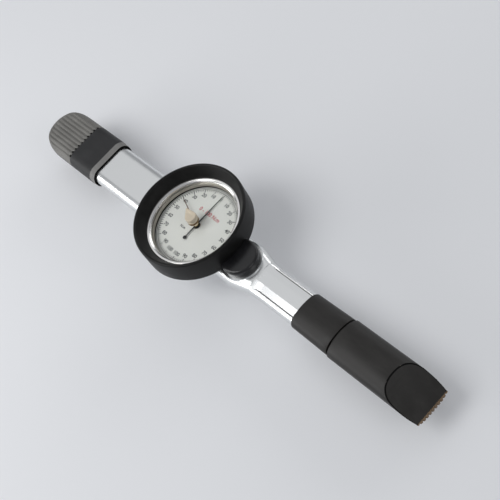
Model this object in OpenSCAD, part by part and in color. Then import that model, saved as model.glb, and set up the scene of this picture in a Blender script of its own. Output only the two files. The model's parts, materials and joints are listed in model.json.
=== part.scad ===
// Dial torque wrench with a measuring beam, a sector-and-pinion movement and a drag pointer.
// Millimetres. +X runs from the drive axis to the handle and +Z points out of the dial.
// The origin is on the drive axis, in the middle plane of the flat-oval body.

/* [Drive] */
// Side of the male square drive
square_side = 12.7; // [12.5:0.05:12.75]
// Length of the square below its shoulder
square_len = 13; // [12:0.5:15]

/* [Body] */
// Width of the flat-oval body tube
body_w = 34.2; // [34:0.1:34.6]
// Height of the flat-oval body tube
body_h = 14.5; // [14.3:0.1:14.6]
// Wall thickness of the body tube
body_wall = 1.6; // [1.5:0.05:1.7]
// Distance from the drive axis to the dial axis
dial_x = 157; // [155:0.5:159]
// Width of the neck tube
neck_w = 25.6; // [25:0.1:26]
// Height of the neck tube
neck_h = 13.5; // [13.3:0.1:13.6]

/* [Head cap] */
// Width of the head cap
cap_w = 38; // [37.8:0.1:39]
// Height of the head cap
cap_h = 18.5; // [18.4:0.1:19]
// Mouth of the head cap along X
cap_mouth_x = 51; // [49:0.1:55]
// Front edge of the cap's ribbed slope along X
cap_slope_x = 20; // [18:0.5:24]
// Height of the slope at the cap's end
cap_end_z = 8.5; // [8.3:0.1:9]
// Number of ribs on the slope
cap_ribs = 10; // [8:1:11]

/* [Dial] */
// Outer radius of the rubber guard
guard_r = 40.6; // [39.7:0.1:41]
// Top of the rubber guard
guard_top_z = 26.8; // [25.5:0.1:28]
// Height of the dial face
face_z = 10.85; // [10.8:0.05:10.9]
// Top of the bezel
bezel_top_z = 18.3; // [18.2:0.1:18.5]
// Radius of the dial's tub below the bezel
tub_r = 32.4; // [32.4:0.1:32.6]

/* [Movement] */
// Tooth module of the sector and the pinion
gear_module = 0.7; // [0.7:0.1:0.7]
// Teeth on the pinion
pinion_teeth = 12; // [12:1:12]
// Teeth the sector would have on a full circle
sector_teeth = 120; // [120:1:120]
// Teeth cut on each side of the sector's centre tooth
sector_side_teeth = 7; // [7:1:7]
// Distance from the sector's pivot to the drive pin
pin_lever = 11; // [11:0.1:11.2]

/* [Handle] */
// Front of the handle's sleeve along X
sleeve_x = 259; // [256:1:262]
// Groove between the sleeve and the grip along X
groove_x = 291.5; // [289:0.1:294]
// End of the grip along X
grip_end_x = 363; // [361:1:367]
// Width of the grip
grip_w = 29.5; // [29:0.1:30]
// Height of the grip
grip_h = 18; // [17.8:0.1:18.4]

/* [Hidden] */
$fn = 96;

slip = 0.05;                                  // radial clearance of a running fit
cut = 1;                                      // how far a cutter runs past a face

// Body
top_z = body_h / 2;
inner_w = body_w - 2 * body_wall;
inner_h = body_h - 2 * body_wall;
floor_z = -inner_h / 2;
pitch_pinion = gear_module * pinion_teeth / 2;
pitch_sector = gear_module * sector_teeth / 2;
pivot_x = dial_x + pitch_pinion + pitch_sector;
shoulder_x = pivot_x + 15.8;
cavity_end_x = shoulder_x - 1;
tongue_len = 22;
tongue_w = 20.6;
tongue_h = 8.5;

// Drive
bush_r = 11;
journal_r = 9;
shoulder_z = -10.5;
tip_z = shoulder_z - square_len;
disc_r = 11.5;
washer_t = 0.6;
washer_r = 10.4;
disc_z = floor_z + washer_t;
beam_z = -1;
beam_t = 3.4;
spigot = 9;
arm_z = -4.3;
arm_t = 3;
arm_w = 6;
pin_r = 1.5;
pin_x = pivot_x + pin_lever;
ball_r = 2.25;
ball_z = (shoulder_z + tip_z) / 2;
ball_out = 1.1;
ball_y = -square_side / 2 - ball_out + ball_r;
ball_bore_end = 2;

// Beam anchor
anchor_x = 95;
anchor_len = 18;
anchor_screw_y = 7.9;

// Cap
cap_r = 8;
cap_end_x = -cap_w / 2;
slope_run = cap_slope_x - cap_end_x;
slope_drop = cap_h / 2 - cap_end_z;
slope_angle = atan(slope_drop / slope_run);

// Dial case and bezel
tub_z = 0.8;
tub_floor = 1.2;
tub_wall = 1.2;
flange_z = 7.4;
flange_t = 1;
case_wall_r = 34.6;
case_wall_in = 33;
case_wall_z = 12;
bezel_in = 31.65;
bezel_skirt_r = 36;
lip_r = 31;
visible_r = 34.2;
window_w = 23;
crystal_z = 15;
crystal_t = 1.5;
plate_t = 0.6;
guard_gap = 0.2;

// Movement
sector_z = 2.4;
sector_t = 1.2;
post_r = 2;
bridge_z = 6;
bridge_t = 1.2;
pillar_x = dial_x - 8;
pillar_y = 16;
arbor_r = 1.2;
pointer_z = 11.7;
memory_angle = 90 + 4 * 360 / 21;
memory_z = 13.2;
knob_z = 16.85;
knob_h = 6.05;
knob_r = 4.1;
knob_tip = 8.1;
knob_tip_r = 0.8;

// Pivot cap
lobe_x = pivot_x - 1.7;
rim_in = 13.4;
rim_out = 14.8;
rim_h = 0.8;
pivot_cap_h = 6.5;
access_r = 9;

// Handle
sleeve_w = 28;
sleeve_h = 17;
groove_w = 1.2;
neck_end_x = 331;
neck_wall = 2.45;
neck_entry = 4;
tang_w = 21;
tang_h = 10.4;
tang_wall = 2;
spigot_w = 24.2;
spigot_h = 13;
scoop_r = 90;
scoop_end_z = -5;
scoop_len = 27;
scoop_drop = grip_h / 2 - scoop_end_z;
scoop_chord = sqrt(scoop_len * scoop_len + scoop_drop * scoop_drop);
scoop_reach = sqrt(scoop_r * scoop_r - scoop_chord * scoop_chord / 4);
scoop_x = grip_end_x - scoop_len / 2 + scoop_reach * scoop_drop / scoop_chord;
scoop_z = scoop_end_z + scoop_drop / 2 + scoop_reach * scoop_len / scoop_chord;
grip_ribs = 10;
grip_foot = 0.4;                              // depth of the flat under the grip's end

// ---------- shared shapes ----------

// Flat-oval outline, straight top and bottom with round sides
module obround(w, h) {
    square([w - h, h], center = true);
    for (side = [-1, 1])
        translate([side * (w - h) / 2, 0]) circle(d = h);
}

// Rectangle with round corners
module round_rect(w, h, r) {
    square([w, h - 2 * r], center = true);
    square([w - 2 * r, h], center = true);
    for (sx = [-1, 1], sy = [-1, 1])
        translate([sx * (w / 2 - r), sy * (h / 2 - r)]) circle(r = r);
}

// Ellipse outline
module ellipse(w, h) {
    scale([w / h, 1]) circle(d = h);
}

// Oval with fuller corners than an ellipse
module superellipse(w, h, power) {
    polygon([for (a = [0:3.75:359]) [
        w / 2 * sign(cos(a)) * pow(abs(cos(a)), 2 / power),
        h / 2 * sign(sin(a)) * pow(abs(sin(a)), 2 / power)
    ]]);
}

// Extrudes a Y-Z section from x0 to x1
module along_x(x0, x1) {
    translate([x0, 0, 0]) rotate([90, 0, 90]) linear_extrude(x1 - x0) children();
}

// Upright cylinder between two heights
module post(x, y, z0, z1, r) {
    translate([x, y, z0]) cylinder(r = r, h = z1 - z0);
}

// Upright ring between two heights
module ring(x, y, z0, z1, r_out, r_in) {
    difference() {
        post(x, y, z0, z1, r_out);
        post(x, y, z0 - cut, z1 + cut, r_in);
    }
}

// Countersunk screw whose head is flush with z and whose shank runs up from it
module csk_up(x, y, z, len, shank, head, depth) {
    translate([x, y, z]) {
        cylinder(r1 = head, r2 = shank, h = depth);
        cylinder(r = shank, h = len);
    }
}

// The same screw with a cross recess
module csk_screw(x, y, z, len, shank, head, depth) {
    difference() {
        csk_up(x, y, z, len, shank, head, depth);
        for (turn = [0, 90])
            translate([x, y, z]) rotate(turn) cube([head * 1.1, head * 0.24, depth], center = true);
    }
}

// Everything above the cap's slope
module above_slope() {
    translate([cap_slope_x, 0, cap_h / 2]) rotate([0, -slope_angle, 0])
        translate([-80, -30, 0]) cube([80, 60, 30]);
}

// One flank point of an involute at radius r, as its angle from the tooth's centre
function inv(a) = tan(a) * 180 / PI - a;
pressure = 25;
function flank(r, base, half) = half - inv(acos(min(1, base / r)));
function gear_r(teeth) = gear_module * teeth / 2;
function tooth(teeth, turn, play) =
    let (
        p = gear_r(teeth),
        base = p * cos(pressure),
        tip = p + 0.9 * gear_module,
        root = p - 1.15 * gear_module,
        half = 90 / teeth - play / p * 90 / PI + inv(pressure),
        low = max(root - 0.1, base + 0.001),
        steps = 5,
        up = [for (i = [0:steps]) low + (tip - low) * i / steps]
    )
    concat(
        [[root - 0.3, -flank(low, base, half)]],
        [for (r = up) [r, -flank(r, base, half)]],
        [for (i = [steps:-1:0]) [up[i], flank(up[i], base, half)]],
        [[root - 0.3, flank(low, base, half)]]
    );
module tooth2d(teeth, turn, play) {
    polygon([for (q = tooth(teeth, turn, play)) [q[0] * cos(q[1] + turn), q[0] * sin(q[1] + turn)]]);
}

// ---------- housing ----------

module body_plan(w, x1) {
    circle(d = w);
    translate([0, -w / 2]) square([x1, w]);
}

module tube_blank(w, h, x1) {
    intersection() {
        along_x(-w / 2, x1) obround(w, h);
        translate([0, 0, -h]) linear_extrude(2 * h) body_plan(w, x1);
    }
}

module shoulder_taper(w0, h0, w1, h1, x1) {
    hull() {
        along_x(pivot_x - 0.02, pivot_x) obround(w0, h0, $fn = 64);
        along_x(x1 - 0.02, x1) obround(w1, h1, $fn = 64);
    }
}

module case_boss(x, y) {
    post(x, y, floor_z - 0.5, tub_z, 2.6);
}

module at_case_screws() {
    for (x = [dial_x - 24, dial_x + 24], y = [-11, 11])
        translate([x, y, 0]) children();
}

module housing_tube() {
    color("silver") difference() {
        union() {
            difference() {
                union() {
                    tube_blank(body_w, body_h, pivot_x);
                    shoulder_taper(body_w, body_h, neck_w + 1.2, neck_h + 0.5, shoulder_x);
                    post(lobe_x, 0, 0, top_z + rim_h, rim_out);
                }
                tube_blank(inner_w, inner_h, pivot_x);
                shoulder_taper(inner_w, inner_h, neck_w - 2.2, inner_h - 0.8, cavity_end_x);
            }
            intersection() {
                at_case_screws() post(0, 0, floor_z - 0.5, tub_z, 2.6);
                along_x(0, pivot_x) obround(body_w - 1, body_h - 1);
            }
            along_x(cavity_end_x, shoulder_x + tongue_len) obround(tongue_w, tongue_h);
        }
        post(dial_x, 0, tub_z, top_z + cut, tub_r);
        post(dial_x, 0, top_z + slip, top_z + 5, guard_r + guard_gap);
        post(lobe_x, 0, top_z, top_z + 5, rim_in);
        post(lobe_x, 0, 0, top_z + cut, access_r);
        post(0, 0, -top_z - cut, floor_z + cut, bush_r);
        post(pivot_x, 0, -top_z - cut, floor_z + cut, post_r);
        at_case_screws() post(0, 0, -3.5, tub_z + cut, 1);
        at_cap_screws() post(0, 0, -top_z - cut, 0, 1.5);
        at_anchor_screws() csk_up(0, 0, -top_z, 5, 1.5, 2.6, 1.3);
        at_neck_screws() post(0, 0, -tongue_h, 0, 1.25);
    }
}

module at_cap_screws() {
    for (y = [-9, 9])
        translate([40, y, 0]) children();
}

module head_cap() {
    color([0.12, 0.12, 0.12]) difference() {
        intersection() {
            along_x(cap_end_x, cap_mouth_x) round_rect(cap_w, cap_h, cap_r);
            translate([0, 0, -cap_h]) linear_extrude(2 * cap_h) union() {
                circle(d = cap_w);
                translate([0, -cap_w / 2]) square([cap_mouth_x, cap_w]);
            }
        }
        above_slope();
        cap_grooves();
        tube_blank(body_w + 2 * slip, body_h + 2 * slip, cap_mouth_x + cut);
        post(0, 0, -cap_h, floor_z, bush_r + 1.6);
        at_cap_screws() csk_up(0, 0, -cap_h / 2, 6, 1.55, 3, 1.5);
        cap_chamfer();
    }
}

// V grooves that leave the ribs standing on the slope
module cap_grooves() {
    pitch = 3.3;
    side = 1.1;
    for (i = [0:cap_ribs])
        translate([cap_slope_x, (i - cap_ribs / 2) * pitch, cap_h / 2])
            rotate([0, -slope_angle, 0]) rotate([45, 0, 0])
                translate([-60, -side / 2, -side / 2]) cube([60.5, side, side]);
}

// Bevel round the cap's mouth
module cap_chamfer() {
    difference() {
        along_x(cap_mouth_x - 4.8, cap_mouth_x + cut) square([60, 60], center = true);
        hull() {
            along_x(cap_mouth_x - 5, cap_mouth_x - 4.8) round_rect(cap_w, cap_h, cap_r, $fn = 64);
            along_x(cap_mouth_x + cut, cap_mouth_x + cut + 0.02)
                round_rect(cap_w - 1.5, cap_h - 1.5, cap_r - 0.75, $fn = 64);
        }
    }
}

module cap_screws() {
    color("dimgray") at_cap_screws() csk_screw(0, 0, -cap_h / 2, 5.4, 1.5, 2.9, 1.45);
}

module drive_bush() {
    color("peru") difference() {
        union() {
            post(0, 0, -top_z, floor_z, bush_r);
            post(0, 0, -top_z - 0.8, -top_z, bush_r + 1.4);
        }
        post(0, 0, -top_z - 2, floor_z + cut, journal_r + slip);
    }
}

module thrust_washer() {
    color("darkgoldenrod") ring(0, 0, floor_z + 0.03, disc_z - 0.02, washer_r, journal_r + 0.1);
}

module at_anchor_screws() {
    for (x = [anchor_x + 4, anchor_x + anchor_len - 4], y = [-anchor_screw_y, anchor_screw_y])
        translate([x, y, 0]) children();
}

module beam_anchor() {
    color("slategray") difference() {
        intersection() {
            along_x(anchor_x, anchor_x + anchor_len) obround(inner_w, inner_h);
            translate([anchor_x, -13.4, floor_z]) cube([anchor_len, 26.8, inner_h]);
        }
        translate([anchor_x - cut, -6.1, floor_z - cut])
            cube([anchor_len + 2 * cut, 12.2, beam_z - 0.2 - floor_z + cut]);
        translate([anchor_x - cut, -8 - slip, beam_z - slip])
            cube([anchor_len + 2 * cut, 16 + 2 * slip, beam_t + 2 * slip]);
        post(anchor_x + anchor_len / 2, 0, beam_z - cut, 10, 2);
        at_anchor_screws() post(0, 0, -8, -1.4, 1.5);
    }
}

module anchor_screws() {
    color("dimgray") at_anchor_screws() csk_screw(0, 0, -top_z, 5, 1.5, 2.6, 1.3);
}

module anchor_pin() {
    color("lightgray") post(anchor_x + anchor_len / 2, 0, beam_z - 0.15, inner_h / 2 - slip, 2);
}

module sector_post() {
    color("lightgray") post(pivot_x, 0, -top_z + 0.2, 5.3, post_r);
}

module sector_spacer() {
    color("darkgoldenrod") ring(pivot_x, 0, floor_z + 0.15, sector_z - 0.85, 3.2, post_r);
}

module sector_clip() {
    color("dimgray") ring(pivot_x, 0, sector_z + sector_t + 0.85, 4.95, 3.6, post_r);
}

// ---------- dial case and movement ----------

module dial_case() {
    color("gainsboro") difference() {
        rotate_about_dial() polygon([
            [0, tub_z], [tub_r, tub_z], [tub_r, flange_z], [case_wall_r, flange_z],
            [case_wall_r, 9.1], [case_wall_r - 0.7, 9.1], [case_wall_r - 0.7, 11.5],
            [case_wall_r, 11.5], [case_wall_r, case_wall_z], [case_wall_in, case_wall_z],
            [case_wall_in, flange_z + flange_t], [tub_r - tub_wall, flange_z + flange_t],
            [tub_r - tub_wall, tub_z + tub_floor], [0, tub_z + tub_floor]
        ]);
        post(dial_x, 0, 0, 5, arbor_r + slip);
        for (y = [-pillar_y, pillar_y])
            post(pillar_x, y, 0, 5, 1.2);
        at_case_screws() csk_down(tub_z + tub_floor, 4, 1, 2.1, 1.05);
        translate([dial_x + tub_r - 5, -window_w / 2, tub_z + tub_floor]) cube([8, window_w, 2.4]);
    }
}

module rotate_about_dial() {
    translate([dial_x, 0, 0]) rotate_extrude() children();
}

// Countersunk screw shape with its head flush with z and its shank running down
module csk_down(z, len, shank, head, depth) {
    translate([0, 0, z]) mirror([0, 0, 1]) {
        cylinder(r1 = head, r2 = shank, h = depth);
        cylinder(r = shank, h = len);
    }
}

module case_screws() {
    color("dimgray") at_case_screws() difference() {
        csk_down(tub_z + tub_floor, 4, 1, 2.1, 1.05);
        translate([0, 0, tub_z + tub_floor]) cube([3.2, 0.5, 0.9], center = true);
    }
}

module bridge_pillars() {
    color("gold") for (y = [-pillar_y, pillar_y]) difference() {
        union() {
            post(pillar_x, y, tub_z, bridge_z, 1.2);
            post(pillar_x, y, tub_z + tub_floor, bridge_z, 2);
        }
        post(pillar_x, y, 3, bridge_z + cut, 0.8);
    }
}

module movement_bridge() {
    color("gold") difference() {
        translate([0, 0, bridge_z]) linear_extrude(bridge_t) union() {
            translate([pillar_x, 0]) square([8, 2 * pillar_y], center = true);
            for (y = [-pillar_y, pillar_y])
                translate([pillar_x, y]) circle(r = 4);
            translate([pillar_x, -5]) square([dial_x - pillar_x, 10]);
            translate([dial_x, 0]) circle(r = 5);
        }
        post(dial_x, 0, 5, 10, arbor_r + slip);
        post(dial_x - 8.6, 0, 5, 10, 0.6);
        for (y = [-pillar_y, pillar_y])
            post(pillar_x, y, 5, 10, 0.8);
    }
}

module bridge_screws() {
    color("steelblue") for (y = [-pillar_y, pillar_y]) difference() {
        union() {
            post(pillar_x, y, 3.6, bridge_z + bridge_t, 0.8);
            post(pillar_x, y, bridge_z + bridge_t, bridge_z + bridge_t + 1, 1.9);
        }
        translate([pillar_x, y, bridge_z + bridge_t + 1]) cube([5, 0.5, 0.9], center = true);
    }
}

// Flat spiral with a constant strip thickness
module hairspring() {
    turns = 4.5;
    r0 = 2.35;
    r1 = 8.1;
    strip = 0.16;
    n = 160;
    function ang(i) = 180 - 360 * turns * (1 - i / n);
    function rad(i) = r0 + (r1 - r0) * i / n;
    color("lightsteelblue") translate([dial_x, 0, 4.6]) linear_extrude(0.7) polygon(concat(
        [for (i = [0:n]) [(rad(i) + strip) * cos(ang(i)), (rad(i) + strip) * sin(ang(i))]],
        [for (i = [n:-1:0]) [rad(i) * cos(ang(i)), rad(i) * sin(ang(i))]]
    ));
}

module hairspring_stud() {
    color("gold") difference() {
        union() {
            post(dial_x - 8.6, 0, 4.3, bridge_z, 0.9);
            post(dial_x - 8.6, 0, bridge_z, bridge_z + bridge_t, 0.6);
        }
        translate([dial_x - 8.6, -2, 4.5]) cube([1.5, 4, 0.9]);
    }
}

module pivot_cap() {
    r = rim_in - slip;
    edge = 2;
    color([0.1, 0.1, 0.1]) difference() {
        union() {
            translate([lobe_x, 0, top_z]) rotate_extrude() union() {
                square([r - edge, pivot_cap_h]);
                square([r, pivot_cap_h - edge]);
                translate([r - edge, pivot_cap_h - edge]) intersection() {
                    circle(r = edge);
                    square(edge);
                }
            }
            post(lobe_x, 0, -floor_z, top_z, access_r - slip);
        }
        post(lobe_x, 0, 0, top_z + pivot_cap_h - 2, access_r - 1.6);
        post(dial_x, 0, top_z - cut, 30, guard_r + guard_gap);
    }
}

// ---------- neck and handle ----------

module at_neck_screws() {
    for (x = [shoulder_x + 7, shoulder_x + 16])
        translate([x, 0, 0]) children();
}

module at_handle_screws() {
    for (x = [groove_x - 16, groove_x + 26])
        translate([x, 0, 0]) children();
}

module neck_tube() {
    color("silver") difference() {
        union() {
            along_x(shoulder_x, sleeve_x + neck_entry) obround(neck_w, neck_h);
            along_x(sleeve_x + neck_entry, neck_end_x) obround(tang_w, tang_h);
        }
        along_x(shoulder_x - cut, sleeve_x)
            obround(neck_w - 2 * neck_wall, neck_h - 2 * neck_wall);
        along_x(sleeve_x - cut, neck_end_x + cut)
            obround(tang_w - 2 * tang_wall, tang_h - 2 * tang_wall);
        at_neck_screws() csk_up(0, 0, -neck_h / 2, 6, 1.25, 2.4, 1.2);
        at_handle_screws() post(0, 0, -neck_h, 0, 1.25);
    }
}

module neck_screws() {
    color("dimgray") at_neck_screws() csk_screw(0, 0, -neck_h / 2, 6, 1.25, 2.4, 1.2);
}

module front_sleeve() {
    color([0.13, 0.13, 0.13]) difference() {
        along_x(sleeve_x, groove_x - groove_w / 2) ellipse(sleeve_w, sleeve_h);
        along_x(sleeve_x - cut, sleeve_x + neck_entry + slip)
            obround(neck_w + 2 * slip, neck_h + 2 * slip);
        along_x(sleeve_x, groove_x) obround(tang_w + 2 * slip, tang_h + 2 * slip);
        along_x(groove_x - 6, groove_x + cut) obround(spigot_w, spigot_h);
        translate([groove_x - 16, 0, 0]) csk_up(0, 0, -sleeve_h / 2, 6, 1.3, 2.7, 1.3);
    }
}

module grip() {
    color([0.13, 0.13, 0.13]) difference() {
        union() {
            hull() {
                along_x(groove_x + groove_w / 2, groove_x + groove_w / 2 + 0.02)
                    superellipse(grip_w, grip_h, 2);
                along_x(grip_end_x - 0.02, grip_end_x) intersection() {
                    superellipse(grip_w, grip_h, 2.6);
                    translate([0, grip_foot]) square([2 * grip_w, grip_h], center = true);
                }
            }
            along_x(groove_x - 5.9, groove_x + groove_w)
                obround(spigot_w - 2 * slip, spigot_h - 2 * slip);
        }
        along_x(groove_x - 10, neck_end_x + slip) obround(tang_w + 2 * slip, tang_h + 2 * slip);
        translate([scoop_x, 0, scoop_z]) rotate([90, 0, 0])
            cylinder(r = scoop_r, h = 60, center = true, $fn = 240);
        translate([groove_x + 26, 0, 0]) csk_up(0, 0, -grip_h / 2, 6, 1.3, 2.7, 1.3);
        for (i = [0:grip_ribs - 1])
            translate([grip_end_x, (i - (grip_ribs - 1) / 2) * 2.55, -grip_h / 2]) rotate(45)
                cube([1, 1, 60], center = true);
    }
}

module handle_screws() {
    color("dimgray") {
        csk_screw(groove_x - 16, 0, -sleeve_h / 2, 6.4, 1.25, 2.65, 1.3);
        csk_screw(groove_x + 26, 0, -grip_h / 2, 6.9, 1.25, 2.65, 1.3);
    }
}

// ---------- drive body ----------

module drive_head() {
    color("gainsboro") difference() {
        union() {
            post(0, 0, disc_z, beam_z, disc_r);
            post(0, 0, shoulder_z, disc_z + 0.5, journal_r);
            translate([0, 0, (shoulder_z + tip_z) / 2 + 0.5])
                cube([square_side, square_side, square_len + 1], center = true);
            translate([0, 0, beam_z + beam_t / 2 - 0.5])
                cube([spigot, spigot, beam_t + 1 - 0.1], center = true);
        }
        translate([3, -arm_w / 2, arm_z]) cube([20, arm_w, 10]);
        at_arm_pins() post(0, 0, disc_z - cut, 0, 1);
        post(0, 0, disc_z, 10, 1.5);
        translate([0, -square_side / 2 + 0.25, ball_z]) rotate([-90, 0, 0])
            cylinder(r = ball_r + slip, h = square_side / 2 + ball_bore_end - 0.25);
        translate([0, -square_side / 2 - cut, ball_z]) rotate([-90, 0, 0])
            cylinder(r = ball_r - 0.15, h = 3);
        drive_tip_bevels();
    }
}

// Bevels on the four lower edges of the square
module drive_tip_bevels() {
    for (turn = [0:90:270])
        rotate(turn) translate([square_side / 2, 0, tip_z]) rotate([0, 45, 0])
            cube([1.4, 2 * square_side, 1.4], center = true);
}

module measuring_beam() {
    color("lightsteelblue") difference() {
        translate([0, 0, beam_z]) linear_extrude(beam_t) union() {
            circle(r = 9.5);
            translate([0, -8]) square([anchor_x + anchor_len, 16]);
        }
        translate([0, 0, beam_z]) cube([spigot + 0.04, spigot + 0.04, 20], center = true);
        post(anchor_x + anchor_len / 2, 0, beam_z - cut, 10, 2 + slip);
    }
}

module beam_screw() {
    z = beam_z + beam_t;
    color("dimgray") difference() {
        union() {
            post(0, 0, z, z + 0.9, 6.8);
            post(0, 0, disc_z + 1, z, 1.5);
        }
        translate([0, 0, z + 0.9]) cube([5, 0.8, 0.8], center = true);
    }
}

module at_arm_pins() {
    for (x = [6, 9.5])
        translate([x, 0, 0]) children();
}

module signal_arm() {
    ring_out = 8.8;
    ring_in = 7.1;
    color("lightgray") difference() {
        translate([0, 0, arm_z]) linear_extrude(arm_t) difference() {
            union() {
                translate([3, -arm_w / 2]) square([pivot_x - 3, arm_w]);
                translate([pivot_x, 0]) circle(r = ring_out);
                translate([pivot_x, -3]) square([pin_lever, 6]);
                translate([pin_x, 0]) circle(r = 2.6);
            }
            translate([pivot_x, 0]) circle(r = ring_in);
        }
        post(pin_x, 0, arm_z - cut, 5, pin_r);
        at_arm_pins() post(0, 0, arm_z - cut, 5, 1);
    }
}

module arm_pins() {
    color("dimgray") at_arm_pins() post(0, 0, disc_z, arm_z + arm_t, 1);
}

module drive_pin() {
    color("dimgray") post(pin_x, 0, arm_z, sector_z + sector_t + 0.3, pin_r);
}

module detent_spring() {
    len = ball_bore_end - ball_y - ball_r;
    color("silver") translate([0, ball_y + ball_r, ball_z]) rotate([-90, 0, 0])
        linear_extrude(len, twist = -360 * 3, slices = 60, $fn = 10) translate([1.3, 0]) circle(r = 0.3);
}

module detent_ball() {
    color("whitesmoke") translate([0, ball_y, ball_z]) sphere(r = ball_r);
}

// ---------- sector ----------

module sector_gear() {
    root = pitch_sector - 1.15 * gear_module;
    rim_half = (sector_side_teeth + 0.5) * 360 / sector_teeth;
    color("goldenrod") difference() {
        union() {
            translate([pivot_x, 0, sector_z]) linear_extrude(sector_t) difference() {
                union() {
                    intersection() {
                        difference() {
                            circle(r = root);
                            circle(r = root - 4.2);
                        }
                        polygon([
                            [0, 0],
                            [-2 * root, 2 * root * tan(rim_half)],
                            [-2 * root, -2 * root * tan(rim_half)]
                        ]);
                    }
                    polygon([[0, 3.6], [2 - root, 6], [2 - root, -6], [0, -3.6]]);
                    for (k = [-sector_side_teeth:sector_side_teeth])
                        tooth2d(sector_teeth, 180 + k * 360 / sector_teeth, 0.05);
                    translate([0, -3.6]) square([pin_lever + 0.4, 7.2]);
                    translate([pin_lever + 0.4, 0]) circle(r = 3.1);
                }
                translate([-26, 0]) circle(r = 3);
                pin_slot();
            }
            post(pivot_x, 0, sector_z - 0.8, sector_z + sector_t + 0.8, 4.6);
        }
        post(pivot_x, 0, 0, 8, post_r + slip);
    }
}

// Slot in the sector's tail for the drive pin
module pin_slot() {
    w = pin_r + 0.07;
    translate([pin_lever - 0.1, 0.01 - w]) square([0.75, 2 * w - 0.02]);
    for (dx = [-0.1, 0.65])
        translate([pin_lever + dx, 0]) circle(r = w);
}

// ---------- pointer ----------

module pinion_shaft() {
    color("lightgray") union() {
        post(dial_x, 0, tub_z + 0.1, 11.25, arbor_r);
        post(dial_x, 0, 11.2, 12.5, 0.9);
        post(dial_x, 0, 4.05, 5.4, 2.2);
        translate([dial_x, 0, sector_z - 0.3]) linear_extrude(sector_t + 0.6) union() {
            circle(r = pitch_pinion - 1.1 * gear_module);
            for (k = [0:pinion_teeth - 1])
                tooth2d(pinion_teeth, (k + 0.5) * 360 / pinion_teeth, 0.05);
        }
    }
}

module pointer() {
    tip = 26.6;
    tail = 11.6;
    color("black") difference() {
        union() {
            post(dial_x, 0, 11.25, 12.6, 2.3);
            translate([dial_x, 0, pointer_z]) linear_extrude(0.35) union() {
                polygon([[-0.55, 0], [-0.16, tip], [0.16, tip], [0.55, 0]]);
                translate([-0.35, -tail]) square([0.7, tail]);
                translate([0, -tail]) circle(r = 1.4);
            }
        }
        post(dial_x, 0, 11, 13, 0.9);
    }
}

// ---------- bezel body ----------

module bezel() {
    color("silver") difference() {
        rotate_about_dial() polygon([
            [34.7, 8.6], [bezel_skirt_r, 8.6], [bezel_skirt_r, bezel_top_z - 0.7],
            [35.3, bezel_top_z], [32.9, bezel_top_z], [lip_r, crystal_z + crystal_t],
            [bezel_in, crystal_z + crystal_t], [bezel_in, 9.4], [32.9, 9.4],
            [32.9, case_wall_z + 0.1], [34.7, case_wall_z + 0.1]
        ]);
        at_bezel_screws() cylinder(r = 1, h = 5);
    }
}

module at_bezel_screws() {
    for (turn = [30:120:270])
        translate([dial_x, 0, 10.3]) rotate([0, 0, turn]) translate([34.15, 0, 0])
            rotate([0, 90, 0]) children();
}

module bezel_screws() {
    color("dimgray") at_bezel_screws() difference() {
        cylinder(r = 1, h = bezel_skirt_r - 34.15 - 0.1);
        translate([0, 0, bezel_skirt_r - 34.15]) cube([3, 0.4, 0.9], center = true);
    }
}

module dial_guard() {
    round_r = 0.9;
    color([0.1, 0.1, 0.1]) rotate_about_dial() union() {
        polygon([
            [bezel_skirt_r, flange_z], [guard_r - 0.8, flange_z], [guard_r, flange_z + 0.8],
            [guard_r, guard_top_z - round_r], [guard_r - round_r, guard_top_z - 0.05],
            [guard_r - 1.5, guard_top_z - 0.35], [visible_r, bezel_top_z],
            [35.3, bezel_top_z], [bezel_skirt_r, bezel_top_z - 0.7]
        ]);
        translate([guard_r - round_r, guard_top_z - round_r]) circle(r = round_r);
    }
}

module crystal() {
    color([0.8, 0.9, 0.95, 0.3]) difference() {
        post(dial_x, 0, crystal_z, crystal_z + crystal_t, bezel_in - slip);
        post(dial_x, 0, 0, 30, 1.7);
    }
}

module crystal_bush() {
    color("gold") difference() {
        union() {
            post(dial_x, 0, crystal_z, crystal_z + crystal_t, 1.7);
            post(dial_x, 0, crystal_z + crystal_t, crystal_z + crystal_t + 0.3, 2.6);
        }
        post(dial_x, 0, 0, 30, 1.2 + slip);
    }
}

module dial_spacer() {
    color("tan") ring(dial_x, 0, face_z, crystal_z, bezel_in - slip, 30.3);
}

module dial_plate() {
    color("white") ring(dial_x, 0, face_z - plate_t, face_z, bezel_in - slip, 2.6);
}

module dial_retainer() {
    color("dimgray") ring(dial_x, 0, face_z - plate_t - 0.7, face_z - plate_t, bezel_in, 30);
}

// ---------- memory pointer ----------

module at_memory() {
    translate([dial_x, 0, 0]) rotate(memory_angle) children();
}

module memory_shaft() {
    color("gold") post(dial_x, 0, 12.75, knob_z + 4, 1.2);
}

module memory_pointer() {
    tip = 25;
    color("saddlebrown") at_memory() difference() {
        union() {
            translate([0, 0, 12.95]) cylinder(r = 2, h = 1.35);
            translate([0, 0, memory_z]) linear_extrude(0.35)
                polygon([[0, -0.6], [tip, -0.18], [tip, 0.18], [0, 0.6]]);
        }
        translate([0, 0, 12]) cylinder(r = 1.2, h = 4);
    }
}

module drag_washer() {
    color("silver") ring(dial_x, 0, 14.35, crystal_z - slip, 2.4, 1.25);
}

// Drop-shaped knob that points the way the memory pointer does
module memory_knob() {
    color("wheat") at_memory() difference() {
        translate([0, 0, knob_z]) linear_extrude(knob_h) hull() {
            circle(r = knob_r);
            translate([knob_tip - knob_tip_r, 0]) circle(r = knob_tip_r, $fn = 32);
        }
        translate([0, 0, knob_z - cut]) cylinder(r = 1.2, h = 4 + cut);
    }
}

// ---------- nodes ----------

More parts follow.
